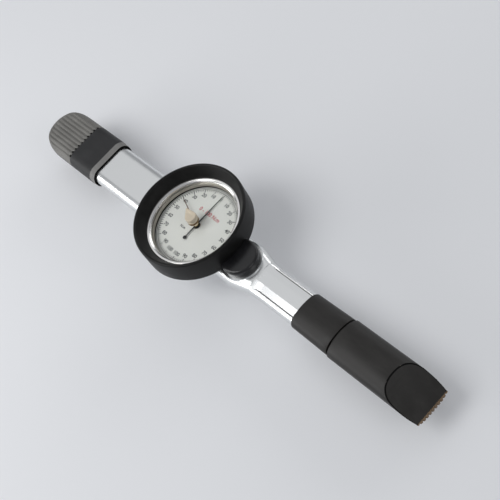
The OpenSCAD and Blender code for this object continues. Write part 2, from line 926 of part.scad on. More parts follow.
housing_tube();
head_cap();
cap_screws();
drive_bush();
thrust_washer();
beam_anchor();
anchor_screws();
anchor_pin();
sector_post();
sector_spacer();
sector_clip();
dial_case();
case_screws();
bridge_pillars();
movement_bridge();
bridge_screws();
hairspring();
hairspring_stud();
pivot_cap();
neck_tube();
neck_screws();
front_sleeve();
grip();
handle_screws();
drive_head();
measuring_beam();
beam_screw();
signal_arm();
arm_pins();
drive_pin();
detent_spring();
detent_ball();
sector_gear();
pinion_shaft();
pointer();
bezel();
dial_guard();
crystal();
crystal_bush();
dial_spacer();
dial_plate();
dial_retainer();
bezel_screws();
memory_shaft();
memory_pointer();
drag_washer();
memory_knob();
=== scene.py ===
"""Looks of the dial torque wrench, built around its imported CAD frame."""

import json
import math

import bmesh
import bpy
from mathutils import Matrix, Vector


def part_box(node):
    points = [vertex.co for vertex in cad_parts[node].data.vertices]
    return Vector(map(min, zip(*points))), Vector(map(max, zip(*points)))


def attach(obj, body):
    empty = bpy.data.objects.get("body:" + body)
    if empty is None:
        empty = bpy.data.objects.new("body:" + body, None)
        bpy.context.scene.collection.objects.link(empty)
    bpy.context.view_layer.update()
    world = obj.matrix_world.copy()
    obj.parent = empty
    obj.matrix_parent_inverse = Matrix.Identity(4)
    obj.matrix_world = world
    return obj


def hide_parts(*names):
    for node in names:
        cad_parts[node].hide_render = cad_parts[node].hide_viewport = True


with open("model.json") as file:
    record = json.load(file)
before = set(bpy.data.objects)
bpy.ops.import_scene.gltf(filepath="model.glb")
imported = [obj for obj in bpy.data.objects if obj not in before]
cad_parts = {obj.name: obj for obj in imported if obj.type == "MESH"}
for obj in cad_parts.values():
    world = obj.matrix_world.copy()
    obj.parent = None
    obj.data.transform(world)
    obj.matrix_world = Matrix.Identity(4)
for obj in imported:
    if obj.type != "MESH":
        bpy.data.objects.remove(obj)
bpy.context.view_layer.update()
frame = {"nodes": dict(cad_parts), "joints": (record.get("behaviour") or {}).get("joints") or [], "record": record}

MM = 0.001
FULL_TURN = 2 * math.pi
SHARP_ANGLE = 32.0


# ---------- places taken from the frame, in millimetres ----------

def node_box(name):
    """Lowest and highest corner of a CAD node, in millimetres."""
    low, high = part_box(name)
    return low / MM, high / MM


def joint_x(name):
    """The X of a hinge's axis, in millimetres."""
    return next(j for j in frame["joints"] if j["name"] == name)["pos_m"][0] / MM


DIAL_X = joint_x("pointer_spin")
FACE_Z = node_box("dial_plate")[1].z
BODY_W = node_box("housing_tube")[1].y * 2
BODY_H = -node_box("housing_tube")[0].z * 2
NECK_W = node_box("neck_tube")[1].y * 2
NECK_H = node_box("neck_tube")[1].z * 2


# ---------- materials ----------

def new_material(name):
    """An empty node material: its tree and its main shader."""
    mat = bpy.data.materials.new(name)
    mat.use_nodes = True
    tree = mat.node_tree
    tree.nodes.clear()
    out = tree.nodes.new("ShaderNodeOutputMaterial")
    shader = tree.nodes.new("ShaderNodeBsdfPrincipled")
    tree.links.new(shader.outputs[0], out.inputs[0])
    return mat, tree, shader


def place_node(tree, stretch):
    """Object coordinates in millimetres, stretched along each axis."""
    where = tree.nodes.new("ShaderNodeTexCoord")
    scale = tree.nodes.new("ShaderNodeMapping")
    scale.inputs["Scale"].default_value = [1000 * s for s in stretch]
    tree.links.new(where.outputs["Object"], scale.inputs["Vector"])
    return scale.outputs["Vector"]


def noise_node(tree, vector, scale, detail=4.0, rough=0.55):
    """Noise over the given coordinates, about 0.3 to 0.7 in value."""
    noise = tree.nodes.new("ShaderNodeTexNoise")
    noise.inputs["Scale"].default_value = scale
    noise.inputs["Detail"].default_value = detail
    noise.inputs["Roughness"].default_value = rough
    tree.links.new(vector, noise.inputs["Vector"])
    return noise.outputs["Fac"]


def remap(tree, value, low, high, start=0.3, end=0.7):
    """Maps start..end onto low..high."""
    node = tree.nodes.new("ShaderNodeMapRange")
    node.inputs["From Min"].default_value = start
    node.inputs["From Max"].default_value = end
    node.inputs["To Min"].default_value = low
    node.inputs["To Max"].default_value = high
    tree.links.new(value, node.inputs["Value"])
    return node.outputs["Result"]


def mix_colours(tree, factor, dark, light):
    """Dark where the factor is 0 and light where it is 1."""
    mix = tree.nodes.new("ShaderNodeMix")
    mix.data_type = "RGBA"
    mix.inputs["A"].default_value = (*dark, 1)
    mix.inputs["B"].default_value = (*light, 1)
    tree.links.new(factor, mix.inputs["Factor"])
    return mix.outputs["Result"]


def add_bump(tree, shader, height, depth_mm):
    """Small relief from a height between 0 and 1."""
    bump = tree.nodes.new("ShaderNodeBump")
    bump.inputs["Distance"].default_value = depth_mm * MM
    tree.links.new(height, bump.inputs["Height"])
    tree.links.new(bump.outputs["Normal"], shader.inputs["Normal"])


def edge_wear(tree, colour, worn, amount, radius=0.5):
    """Lightens a colour where a bevelled normal leaves the true one: along edges."""
    bevel = tree.nodes.new("ShaderNodeBevel")
    bevel.inputs["Radius"].default_value = radius * MM
    geometry = tree.nodes.new("ShaderNodeNewGeometry")
    dot = tree.nodes.new("ShaderNodeVectorMath")
    dot.operation = "DOT_PRODUCT"
    tree.links.new(bevel.outputs["Normal"], dot.inputs[0])
    tree.links.new(geometry.outputs["Normal"], dot.inputs[1])
    edge = remap(tree, dot.outputs["Value"], amount, 0.0, 0.75, 0.99)
    mix = tree.nodes.new("ShaderNodeMix")
    mix.data_type = "RGBA"
    mix.inputs["B"].default_value = (*worn, 1)
    tree.links.new(edge, mix.inputs["Factor"])
    tree.links.new(colour, mix.inputs["A"])
    return mix.outputs["Result"]


METAL_SPREAD = 0.08


def metal(name, colour, rough, grain, grain_depth):
    """Bare metal with a fine directional grain, soft stains and a varied roughness."""
    mat, tree, shader = new_material(name)
    shader.inputs["Metallic"].default_value = 1.0
    fine = noise_node(tree, place_node(tree, grain), 3.0, 6.0)
    broad = noise_node(tree, place_node(tree, (1, 1, 1)), 0.06, 3.0)
    dark = tuple(c * 0.97 for c in colour)
    tree.links.new(mix_colours(tree, broad, dark, colour), shader.inputs["Base Color"])
    add = tree.nodes.new("ShaderNodeMath")
    add.operation = "MULTIPLY_ADD"
    add.inputs[1].default_value = 0.6
    tree.links.new(fine, add.inputs[0])
    tree.links.new(broad, add.inputs[2])
    low, high = rough * (1 - METAL_SPREAD), rough * (1 + METAL_SPREAD)
    tree.links.new(remap(tree, add.outputs[0], low, high, 0.5, 1.1), shader.inputs["Roughness"])
    add_bump(tree, shader, fine, grain_depth)
    return mat


def moulding(name, colour, rough, grain_scale=2.2, depth=0.03, worn=None, gloss=0.35):
    """Moulded plastic or rubber with a fine pebble, scuffs and lighter edges."""
    mat, tree, shader = new_material(name)
    vector = place_node(tree, (1, 1, 1))
    pebble = noise_node(tree, vector, grain_scale, 3.0)
    scuff = noise_node(tree, place_node(tree, (0.35, 1, 1)), 0.16, 8.0, 0.65)
    light = tuple(min(1, c * 1.35 + 0.004) for c in colour)
    base = mix_colours(tree, remap(tree, scuff, 0, 1, 0.42, 0.72), colour, light)
    worn = worn or tuple(min(1, c * 2.2 + 0.01) for c in colour)
    tree.links.new(edge_wear(tree, base, worn, 0.5), shader.inputs["Base Color"])
    tree.links.new(remap(tree, scuff, rough * 0.88, rough * 1.15), shader.inputs["Roughness"])
    shader.inputs["Specular IOR Level"].default_value = gloss
    add_bump(tree, shader, pebble, depth)
    return mat


def paint(name, colour, rough, speck=0.05, gloss=0.5):
    """Thin even paint or print, with a faint mottle."""
    mat, tree, shader = new_material(name)
    mottle = noise_node(tree, place_node(tree, (1, 1, 1)), 0.7, 5.0)
    dark = tuple(c * (1 - speck) for c in colour)
    tree.links.new(mix_colours(tree, mottle, dark, colour), shader.inputs["Base Color"])
    tree.links.new(remap(tree, mottle, rough * 0.9, rough * 1.1), shader.inputs["Roughness"])
    shader.inputs["Specular IOR Level"].default_value = gloss
    add_bump(tree, shader, mottle, 0.003)
    return mat


def clear_glass(name):
    """Crystal: clear from the front, with a soft mirror at grazing angles."""
    mat, tree, shader = new_material(name)
    tree.nodes.remove(shader)
    out = next(n for n in tree.nodes if n.type == "OUTPUT_MATERIAL")
    clear = tree.nodes.new("ShaderNodeBsdfTransparent")
    clear.inputs["Color"].default_value = (0.985, 0.99, 0.985, 1)
    gloss = tree.nodes.new("ShaderNodeBsdfGlossy")
    smear = noise_node(tree, place_node(tree, (1, 0.3, 1)), 0.2, 5.0)
    tree.links.new(remap(tree, smear, 0.03, 0.09), gloss.inputs["Roughness"])
    rim = tree.nodes.new("ShaderNodeLayerWeight")
    rim.inputs["Blend"].default_value = 0.12
    share = tree.nodes.new("ShaderNodeMath")
    share.operation = "MULTIPLY"
    share.inputs[1].default_value = 0.45
    tree.links.new(rim.outputs["Fresnel"], share.inputs[0])
    mix = tree.nodes.new("ShaderNodeMixShader")
    tree.links.new(share.outputs[0], mix.inputs["Fac"])
    tree.links.new(clear.outputs[0], mix.inputs[1])
    tree.links.new(gloss.outputs[0], mix.inputs[2])
    tree.links.new(mix.outputs[0], out.inputs[0])
    return mat


MATERIALS = {
    "satin_tube": metal("satin_tube", (0.82, 0.83, 0.83), 0.26, (0.03, 1, 1), 0.0015),
    "chrome_drive": metal("chrome_drive", (0.82, 0.83, 0.85), 0.10, (1, 1, 0.05), 0.001),
    "bezel_metal": metal("bezel_metal", (0.86, 0.85, 0.83), 0.20, (0.5, 0.5, 0.5), 0.002),
    # painted reflection: the spacer wall's metal is darkened to taupe for the dark surroundings it reflects
    "spacer_dark_reflection": metal("spacer_dark_reflection", (0.42, 0.39, 0.35), 0.30, (0.2, 0.2, 2), 0.002),
    "case_metal": metal("case_metal", (0.68, 0.69, 0.70), 0.32, (1, 1, 0.2), 0.004),
    "bright_steel": metal("bright_steel", (0.72, 0.73, 0.74), 0.18, (1, 1, 0.3), 0.001),
    "tool_steel": metal("tool_steel", (0.40, 0.41, 0.43), 0.33, (0.05, 1, 1), 0.004),
    "dark_screw": metal("dark_screw", (0.10, 0.10, 0.105), 0.34, (1, 1, 1), 0.003),
    "bronze": metal("bronze", (0.55, 0.36, 0.18), 0.30, (1, 1, 0.2), 0.004),
    "brass": metal("brass", (0.80, 0.60, 0.27), 0.22, (1, 1, 0.3), 0.002),
    "black_cap": moulding("black_cap", (0.022, 0.022, 0.023), 0.52, gloss=0.3),
    # painted sheen: the cap's ribbed top is a lighter grey than the black cap, for the light its slope catches
    "cap_ribs": moulding("cap_ribs", (0.150, 0.146, 0.136), 0.55, worn=(0.34, 0.33, 0.31)),
    # painted light: the band at the cap's mouth is lighter grey because it tilts toward the light and the handle's
    # end
    "cap_band_lit": moulding("cap_band_lit", (0.180, 0.176, 0.170), 0.45, worn=(0.32, 0.31, 0.30)),
    "black_moulding": moulding("black_moulding", (0.007, 0.007, 0.008), 0.24, 2.2, 0.006, gloss=0.5),
    "black_grip": moulding("black_grip", (0.0165, 0.0152, 0.0138), 0.45,
                           worn=(0.10, 0.088, 0.072), gloss=0.32),
    "black_rubber": moulding("black_rubber", (0.006, 0.0058, 0.0056), 0.46, 3.0, 0.02, gloss=0.22),
    # painted shade: near-black for the cap's mouth face and notches, the scoop's rim line and the spacer's foot,
    # where shade falls; also the cutters' material
    "shade_black": paint("shade_black", (0.003, 0.003, 0.003), 0.7, gloss=0.08),
    "pointer_black": paint("pointer_black", (0.018, 0.018, 0.02), 0.35),
    # partly painted shade: the knob's collar is a real part, its dark brown deepened for the shade under the knob
    "knob_collar_shaded": metal("knob_collar_shaded", (0.26, 0.17, 0.09), 0.30, (1, 1, 0.3), 0.002),
    # painted shade: dark metal for the fine groove line along each side of the neck
    "groove_shade_metal": metal("groove_shade_metal", (0.20, 0.20, 0.20), 0.45, (0.03, 1, 1), 0.002),
    # painted highlight: tan colour for the light caught by the ridges on the grip's end
    "grip_end_highlight": moulding("grip_end_highlight", (0.17, 0.11, 0.06), 0.55, gloss=0.3),
    "memory_brown": paint("memory_brown", (0.13, 0.05, 0.028), 0.38),
    "knob_cream": moulding("knob_cream", (0.60, 0.52, 0.40), 0.26, 1.5, 0.01,
                           (0.74, 0.67, 0.55), gloss=0.55),
    "dial_white": paint("dial_white", (0.94, 0.935, 0.895), 0.42, 0.03),
    "dial_ink": paint("dial_ink", (0.03, 0.033, 0.04), 0.5),
    "dial_red": paint("dial_red", (0.62, 0.07, 0.10), 0.5),
    "clear_crystal": clear_glass("clear_crystal"),
}


# ---------- mesh helpers, all in millimetres ----------

def finish_mesh(name, bm, material, angle=SHARP_ANGLE):
    """Welds, turns faces outward, smooths all but sharp edges and returns the object."""
    bmesh.ops.remove_doubles(bm, verts=bm.verts, dist=2e-4)
    bmesh.ops.recalc_face_normals(bm, faces=bm.faces)
    bmesh.ops.scale(bm, vec=(MM, MM, MM), verts=bm.verts)
    mesh = bpy.data.meshes.new(name)
    bm.to_mesh(mesh)
    bm.free()
    mesh.shade_smooth()
    mesh.set_sharp_from_angle(angle=math.radians(angle))
    obj = bpy.data.objects.new(name, mesh)
    bpy.context.scene.collection.objects.link(obj)
    obj.data.materials.append(MATERIALS[material])
    return obj


def settle(obj, body, slot, *nodes):
    """Rides a piece on its body and hides the CAD nodes it stands for; the slot is not used."""
    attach(obj, body)
    if nodes:
        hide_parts(*nodes)
    return obj


def rounded(points, steps=6):
    """Closed outline from (a, b, radius) corners, each rounded by an arc."""
    out = []
    count = len(points)
    for i, (a, b, radius) in enumerate(points):
        here = Vector((a, b))
        if radius == 0:
            out.append((a, b))
            continue
        before = (Vector(points[i - 1][:2]) - here).normalized()
        after = (Vector(points[(i + 1) % count][:2]) - here).normalized()
        half = before.angle(after) / 2
        reach = radius / math.tan(half)
        centre = here + (before + after).normalized() * radius / math.sin(half)
        start = here + before * reach - centre
        turn = (here + after * reach - centre).angle_signed(start)
        for k in range(steps + 1):
            spin = Matrix.Rotation(turn * k / steps, 2)
            out.append(tuple(centre + spin @ start))
    return out


def grid_faces(bm, rows, wrap_rows, wrap_columns):
    """Quads between rows of points, which may close both ways."""
    verts = [[bm.verts.new(p) for p in row] for row in rows]
    row_count, column_count = len(rows), len(rows[0])
    for i in range(row_count if wrap_rows else row_count - 1):
        for j in range(column_count if wrap_columns else column_count - 1):
            a, b = verts[i], verts[(i + 1) % row_count]
            k = (j + 1) % column_count
            bm.faces.new((a[j], a[k], b[k], b[j]))
    return verts


def revolve(name, profile, material, centre, steps=256):
    """Turns a closed (radius, z) outline about an upright axis."""
    bm = bmesh.new()
    rows = []
    for i in range(steps):
        c, s = math.cos(FULL_TURN * i / steps), math.sin(FULL_TURN * i / steps)
        rows.append([(centre[0] + r * c, centre[1] + r * s, z) for r, z in profile])
    grid_faces(bm, rows, True, True)
    dissolve_axis(bm)
    return finish_mesh(name, bm, material)


def dissolve_axis(bm):
    """Removes the faces with no area that a turned outline leaves on its axis."""
    bmesh.ops.remove_doubles(bm, verts=bm.verts, dist=2e-4)
    bmesh.ops.dissolve_degenerate(bm, dist=1e-5, edges=bm.edges)


def extrude_outline(name, outline, z0, z1, material, bevel=0.0, steps=3):
    """Upright prism on a closed outline, with rounded top and bottom edges."""
    bm = bmesh.new()
    bottom = bm.faces.new([bm.verts.new((x, y, z0)) for x, y in outline])
    moved = bmesh.ops.extrude_face_region(bm, geom=[bottom])["geom"]
    top = [g for g in moved if isinstance(g, bmesh.types.BMVert)]
    bmesh.ops.translate(bm, vec=(0, 0, z1 - z0), verts=top)
    bmesh.ops.recalc_face_normals(bm, faces=bm.faces)
    if bevel:
        rim = [e for e in bm.edges if abs(e.verts[0].co.z - e.verts[1].co.z) < 1e-6]
        bmesh.ops.bevel(bm, geom=rim, offset=bevel, segments=steps, profile=0.5, affect="EDGES")
    return finish_mesh(name, bm, material)


def superellipse(w, h, power, count):
    """Closed section of the given width and height; power 2 is an ellipse."""
    points = []
    for i in range(count):
        c, s = math.cos(FULL_TURN * i / count), math.sin(FULL_TURN * i / count)
        y = math.copysign(abs(c) ** (2 / power), c) * w / 2
        z = math.copysign(abs(s) ** (2 / power), s) * h / 2
        points.append((y, z))
    return points


def oval_point(w, h, c, s):
    """The point of a flat oval in the direction with cosine c and sine s."""
    side = (w - h) / 2
    reach = h / 2 / max(abs(s), 1e-9)
    if abs(c) * reach > side:
        reach = side * abs(c) + math.sqrt((h / 2) ** 2 - (side * s) ** 2)
    return (reach * c, reach * s)


def flat_oval(w, h, count):
    """Flat-oval section sampled at the same polar steps as superellipse."""
    angles = [FULL_TURN * i / count for i in range(count)]
    return [oval_point(w, h, math.cos(a), math.sin(a)) for a in angles]


def loft(name, rings, material, closed=False, angle=SHARP_ANGLE):
    """Skin over sections (x, [(y, z), ...]); closed joins the last back to the first."""
    bm = bmesh.new()
    rows = [[(x, y, z) for y, z in section] for x, section in rings]
    verts = grid_faces(bm, rows, closed, True)
    if not closed:
        bm.faces.new(verts[0])
        bm.faces.new(verts[-1])
    return finish_mesh(name, bm, material, angle)


def cut(obj, *cutters):
    """Subtracts closed meshes, then deletes them."""
    bpy.context.view_layer.update()
    for cutter in cutters:
        step = obj.modifiers.new("cut", "BOOLEAN")
        step.operation = "DIFFERENCE"
        step.solver = "MANIFOLD"
        step.object = cutter
    apply_modifiers(obj)
    for cutter in cutters:
        bpy.data.objects.remove(cutter)


def apply_modifiers(obj):
    """Bakes the modifiers into the mesh."""
    graph = bpy.context.evaluated_depsgraph_get()
    graph.update()
    mesh = bpy.data.meshes.new_from_object(obj.evaluated_get(graph))
    obj.modifiers.clear()
    obj.data = mesh


def soften(obj, width, steps, limit):
    """Rounds a piece's sharp edges."""
    step = obj.modifiers.new("soften", "BEVEL")
    step.width = width * MM
    step.segments = steps
    step.limit_method = "ANGLE"
    step.angle_limit = math.radians(limit)
    step.harden_normals = False
    apply_modifiers(obj)
    smooth_again(obj, limit)


def smooth_again(obj, angle=SHARP_ANGLE):
    """Smooth shading up to an angle, after a cut or a bevel."""
    obj.data.shade_smooth()
    obj.data.set_sharp_from_angle(angle=math.radians(angle))


def disc_points(x, y, radius, count=128):
    """Points round a full circle."""
    angles = [FULL_TURN * i / count for i in range(count)]
    return [(x + radius * math.cos(a), y + radius * math.sin(a)) for a in angles]


def arc_points(x, y, radius, start, end, count):
    """Points on an arc, angles in degrees."""
    out = []
    for i in range(count + 1):
        a = math.radians(start + (end - start) * i / count)
        out.append((x + radius * math.cos(a), y + radius * math.sin(a)))
    return out


SEAT_CLEARANCE = 0.15
SEAT_DEPTH = 1.5


def sink_screws(obj, node, along):
    """Cuts seats in the underside for a pair of screws, at the ends of their node's box."""
    low, high = node_box(node)
    if along == "x":
        radius = (high.y - low.y) / 2
        places = [(low.x + radius, 0), (high.x - radius, 0)]
    else:
        radius = (high.x - low.x) / 2
        places = [((low.x + high.x) / 2, low.y + radius), ((low.x + high.x) / 2, high.y - radius)]
    seats = []
    for x, y in places:
        circle = disc_points(x, y, radius + SEAT_CLEARANCE, 64)
        seats.append(extrude_outline("seat", circle, low.z - 3, low.z + SEAT_DEPTH, "shade_black"))
    cut(obj, *seats)


# ---------- head cap ----------

CAP_LOW, CAP_HIGH = node_box("head_cap")
CAP_R = CAP_HIGH.y
CAP_MOUTH = CAP_HIGH.x
CAP_TOP = CAP_HIGH.z
CAP_SIDE_R = 8.0
CAP_EDGE = 1.1
CAP_BAND_X = CAP_MOUTH - 4.8
CAP_BAND_DROP = 0.5
RIB_END_X = 20.0
RIB_PITCH = 3.3
RIB_TOOTH = 0.5
NOTCH_LEN = 2.6
RIB_DEPTH = 0.75
RIB_DROP = 0.75
CAP_LEVEL = 0.3
CAP_ANGLE = 38
CAP_FIT = 0.2


def rib_wave(y):
    """Share of a groove at y: 0 on a rib's crest and 1 in the middle of a groove."""
    return 0.5 - 0.5 * math.cos(FULL_TURN * y / RIB_PITCH)


def rib_front(y):
    """The X where the ribbed slope ends in a saw-toothed line."""
    saw = abs((y / RIB_PITCH) % 1.0 - 0.5) * 2
    return RIB_END_X + RIB_TOOTH * (0.5 - saw)


def in_notch(x, y):
    """Share of the V notch that ends each groove, which is cut in and darkened as painted shade: 1 in its middle
    and 0 outside it.
    """
    into = rib_front(y) - x
    if not -0.1 < into < NOTCH_LEN or abs(y) > CAP_R - 3.2:
        return 0.0
    return max(0.0, min(1.0, (rib_wave(y) - 0.22 - 0.22 * into) * 4))


def cap_top(x, y, side):
    """Height of the cap's upper (side 1) or lower (side -1) skin."""
    flat = CAP_R - CAP_SIDE_R
    over = max(0.0, abs(y) - flat)
    z = CAP_TOP - CAP_SIDE_R + math.sqrt(max(0.0, CAP_SIDE_R ** 2 - over ** 2))
    front = rib_front(y)
    if side > 0 and x < front:
        z -= 0.2 * min(1.0, (front - x) / 0.25)
        z -= RIB_DROP * (front - x) / (front - CAP_LOW.x)
        run_in = min(1.0, (front - x) / 0.8)
        reach = max(0.0, min(1.0, (CAP_R - 1.2 - math.hypot(min(x, 0.0), y)) / 1.5))
        z -= RIB_DEPTH * rib_wave(y) ** 1.6 * run_in * reach + 0.35 * in_notch(x, y)
    return z


def cap_point(x, y, depth, side):
    """A skin point, lowered near the rim by the edge's rounding and drawn in at the band."""
    z = cap_top(x, y, side)
    if depth < CAP_EDGE:
        z -= CAP_EDGE - math.sqrt(CAP_EDGE ** 2 - (CAP_EDGE - depth) ** 2)
    band = max(0.0, (x - CAP_BAND_X) / (CAP_MOUTH - CAP_BAND_X))
    z -= band * CAP_BAND_DROP
    y *= 1 - band * CAP_BAND_DROP / CAP_R
    return (x, y, side * z)


def cap_path(depth):
    """U-shaped line round the cap at a depth in from its rim: (x, y) points."""
    reach = CAP_R - depth
    stations = [CAP_MOUTH, CAP_MOUTH - 2.4, CAP_BAND_X, CAP_BAND_X - 0.35, 42, 38, 32, 27, 24, 22]
    stations += [RIB_END_X + 0.6 - 0.16 * k for k in range(24)] + [16, 14, 11, 8, 4]
    round_steps = 120
    near = [(x, -reach) for x in stations]
    turn = arc_points(0, 0, reach, 270, 90, round_steps)
    far = [(x, reach) for x in reversed(stations)]
    return near + turn + far


def head_cap():
    """Ribbed cap, skinned from U-shaped lines, with the tube's bore and the drive's hole; the ribbed top and the
    band carry painted light, and the mouth's end face and the notches carry painted shade.
    """
    depths = [CAP_EDGE * (1 - math.cos(math.pi / 2 * k / 6)) for k in range(7)]
    levels = int((CAP_R - CAP_EDGE) / CAP_LEVEL)
    depths += [CAP_EDGE + (CAP_R - CAP_EDGE) * (k + 1) / levels for k in range(levels)]
    bm = bmesh.new()
    rows = []
    for depth in reversed(depths):
        rows.append([cap_point(x, y, depth, 1) for x, y in cap_path(depth)])
    for depth in depths:
        rows.append([cap_point(x, y, depth, -1) for x, y in cap_path(depth)])
    grid_faces(bm, rows, False, False)
    bmesh.ops.remove_doubles(bm, verts=bm.verts, dist=2e-4)
    rim = [e for e in bm.edges if e.is_boundary]
    bmesh.ops.edgeloop_fill(bm, edges=rim)

    cap = finish_mesh("head_cap_shell", bm, "black_cap", CAP_ANGLE)
    bore_section = flat_oval(BODY_W + CAP_FIT, BODY_H + CAP_FIT, 96)
    bore = loft("cap_bore", [
        (-CAP_R * 0.7, flat_oval(BODY_W * 0.6, BODY_H * 0.8, 96)),
        (0, bore_section),
        (CAP_MOUTH + 5, bore_section),
    ], "shade_black")
    bush_r = node_box("drive_bush")[1].x + 0.3
    hole = extrude_outline("cap_hole", disc_points(0, 0, bush_r), CAP_LOW.z - 2, -4, "shade_black")
    cut(cap, bore, hole)
    sink_screws(cap, "cap_screws", "y")
    smooth_again(cap, CAP_ANGLE)
    cap.data.materials.clear()
    slots = ("black_cap", "cap_ribs", "cap_band_lit", "shade_black")
    plain, ribs, band, painted_shade = range(len(slots))
    for slot in slots:
        cap.data.materials.append(MATERIALS[slot])
    for face in cap.data.polygons:
        x, y, z = face.center / MM
        normal = face.normal
        top = normal.z > 0.05 and z > 0
        # painted shade: the mouth's end face and the notches at the ends of the grooves are near-black
        if abs(x - CAP_MOUTH) < 0.05:
            face.material_index = painted_shade
        # painted light: band faces that turn toward the handle's end take the lighter band colour
        elif x > CAP_BAND_X and normal.x > 0.02:
            face.material_index = band
        elif top and in_notch(x, y) > 0.3:
            face.material_index = painted_shade
        # painted sheen: upward faces of the ribbed top take the lighter rib colour
        elif top and x < rib_front(y) - 0.06:
            face.material_index = ribs
        else:
            face.material_index = plain
    settle(cap, "housing", "black_cap", "head_cap")


head_cap()


# ---------- handle ----------

SLEEVE_LOW, SLEEVE_HIGH = node_box("front_sleeve")
GRIP_LOW, GRIP_HIGH = node_box("grip")
GROOVE_X = SLEEVE_HIGH.x + 0.6
GRIP_W = GRIP_HIGH.y * 2
GRIP_H = -GRIP_LOW.z * 2
SECTION_STEPS = 128
SCOOP_R = 90.0
SCOOP_END_Z = -5.0
SCOOP_LEN = 27.0
SCOOP_LINE = 0.55
# material slots on the grip: a line of painted shade at the scoop's rim, and a painted tan highlight on its end
GRIP_SHADE_LINE, GRIP_END_HIGHLIGHT = 1, 2
GRIP_FOOT = 0.4
SPIGOT_LEN = 2.6
END_RIBS = 10
END_RIB_PITCH = 2.55


def front_sleeve():
    """Front part of the handle, a sleeve with rounded ends and a stepped bore for the neck."""
    w, h = SLEEVE_HIGH.y * 2, SLEEVE_HIGH.z * 2
    x0, x1 = SLEEVE_LOW.x, SLEEVE_HIGH.x
    front_w, front_h = w - 0.9, h - 0.6

    def ring(x, inset, share):
        width = front_w + (w - front_w) * share - 2 * inset
        height = front_h + (h - front_h) * share - 2 * inset
        return (x, superellipse(width, height, 2.2, SECTION_STEPS))

    rings = [ring(x0, 0.9, 0)]
    for k in range(1, 6):
        a = math.pi / 2 * k / 5
        rings.append(ring(x0 + 0.8 * (1 - math.cos(a)), 0.9 - 0.8 * math.sin(a), 0))
    rings += [ring(x0 + 0.8 + (x1 - x0 - 1.3) * k / 6, 0.1 - 0.1 * k / 6, k / 6) for k in range(1, 7)]
    rings += [ring(x1 - 0.15, 0.12, 1), ring(x1, 0.5, 1)]
    plug_bore = flat_oval(NECK_W - 3.4, NECK_H - 1.6, SECTION_STEPS)
    mouth_bore = flat_oval(NECK_W + 0.1, NECK_H + 0.1, SECTION_STEPS)
    rings += [(x1, plug_bore), (x0 + 3, plug_bore), (x0 + 3, mouth_bore), (x0, mouth_bore)]
    sleeve = loft("front_sleeve_shell", rings, "black_grip", True)
    sink_screws(sleeve, "handle_screws", "x")
    smooth_again(sleeve)
    settle(sleeve, "housing", "black_grip", "front_sleeve")


def scoop_centre():
    """Axis of the scoop's cylinder, through the scoop's two ends: (x, z)."""
    drop = GRIP_H / 2 - SCOOP_END_Z
    chord = math.hypot(SCOOP_LEN, drop)
    reach = math.sqrt(SCOOP_R ** 2 - chord ** 2 / 4)
    return (GRIP_HIGH.x - SCOOP_LEN / 2 + reach * drop / chord,
            SCOOP_END_Z + drop / 2 + reach * SCOOP_LEN / chord)


def line_scoop(body, x1):
    """Bevels the scoop's rim into a fine line of painted shade."""
    centre = scoop_centre()
    bm = bmesh.new()
    bm.from_mesh(body.data)

    def on_scoop(vert):
        away = math.hypot(vert.co.x / MM - centre[0], vert.co.z / MM - centre[1])
        return abs(away - SCOOP_R) < 0.02 and vert.co.x / MM < x1 - 0.3

    rim = [e for e in bm.edges if on_scoop(e.verts[0]) and on_scoop(e.verts[1])
           and len(e.link_faces) == 2 and e.calc_face_angle(0) > math.radians(12)]
    bmesh.ops.bevel(bm, geom=rim, offset=SCOOP_LINE * MM, segments=2, profile=0.5,
                    affect="EDGES", material=GRIP_SHADE_LINE)
    bm.to_mesh(body.data)
    bm.free()


def grip():
    """Rear part of the handle, with the scoop and the ridges on its end, whose faces toward the end carry a
    painted tan highlight.
    """
    x0, x1 = GROOVE_X + 0.6, GRIP_HIGH.x

    def ring(x, inset):
        share = max(0.0, (x - x0) / (x1 - x0))
        width, height = GRIP_W - 2 * inset, GRIP_H - 2 * inset
        section = superellipse(width, height, 2.0 + 0.6 * share, SECTION_STEPS)
        lowest = GRIP_LOW.z + inset + GRIP_FOOT * share
        return (x, [(y, max(z, lowest)) for y, z in section])

    spigot = superellipse(GRIP_W - 4.4, GRIP_H - 3.4, 2.0, SECTION_STEPS)
    rings = [(x0 - SPIGOT_LEN, spigot), (x0, spigot), ring(x0, 0.55)]
    for k in range(1, 5):
        a = math.pi / 2 * k / 4
        rings.append(ring(x0 + 0.5 * (1 - math.cos(a)), 0.55 - 0.5 * math.sin(a)))
    rings += [ring(x0 + 0.5 + (x1 - x0 - 0.5) * k / 8, 0.05) for k in range(1, 9)]
    body = loft("grip_shell", rings, "black_grip")
    scoop = bmesh.new()
    rows = []
    for y in (-GRIP_W, GRIP_W):
        rows.append([(x, y, z) for x, z in disc_points(*scoop_centre(), SCOOP_R, 720)])
    ends = grid_faces(scoop, rows, False, True)
    scoop.faces.new(ends[0])
    scoop.faces.new(ends[1])
    cut(body, finish_mesh("scoop", scoop, "shade_black"))
    body.data.materials.append(MATERIALS["grip_end_highlight"])
    line_scoop(body, x1)
    teeth = []
    for k in range(END_RIBS):
        y = (k - (END_RIBS - 1) / 2) * END_RIB_PITCH
        out, deep = x1 + 0.4, x1 - 0.75
        notch = [(out, y - 0.95), (out, y + 0.95), (deep, y + 0.08), (deep, y - 0.08)]
        teeth.append(extrude_outline(f"notch_{k}", notch, GRIP_LOW.z - 3, 3, "grip_end_highlight"))
    cut(body, *teeth)
    soften(body, 0.12, 2, 40)
    sink_screws(body, "handle_screws", "x")
    smooth_again(body)
    # painted highlight: faces at the grip's end turned toward +X take the tan colour
    for face in body.data.polygons:
        if face.center.x / MM > x1 - 0.45 and face.normal.x > 0.2:
            face.material_index = GRIP_END_HIGHLIGHT
    settle(body, "housing", "black_grip", "grip")


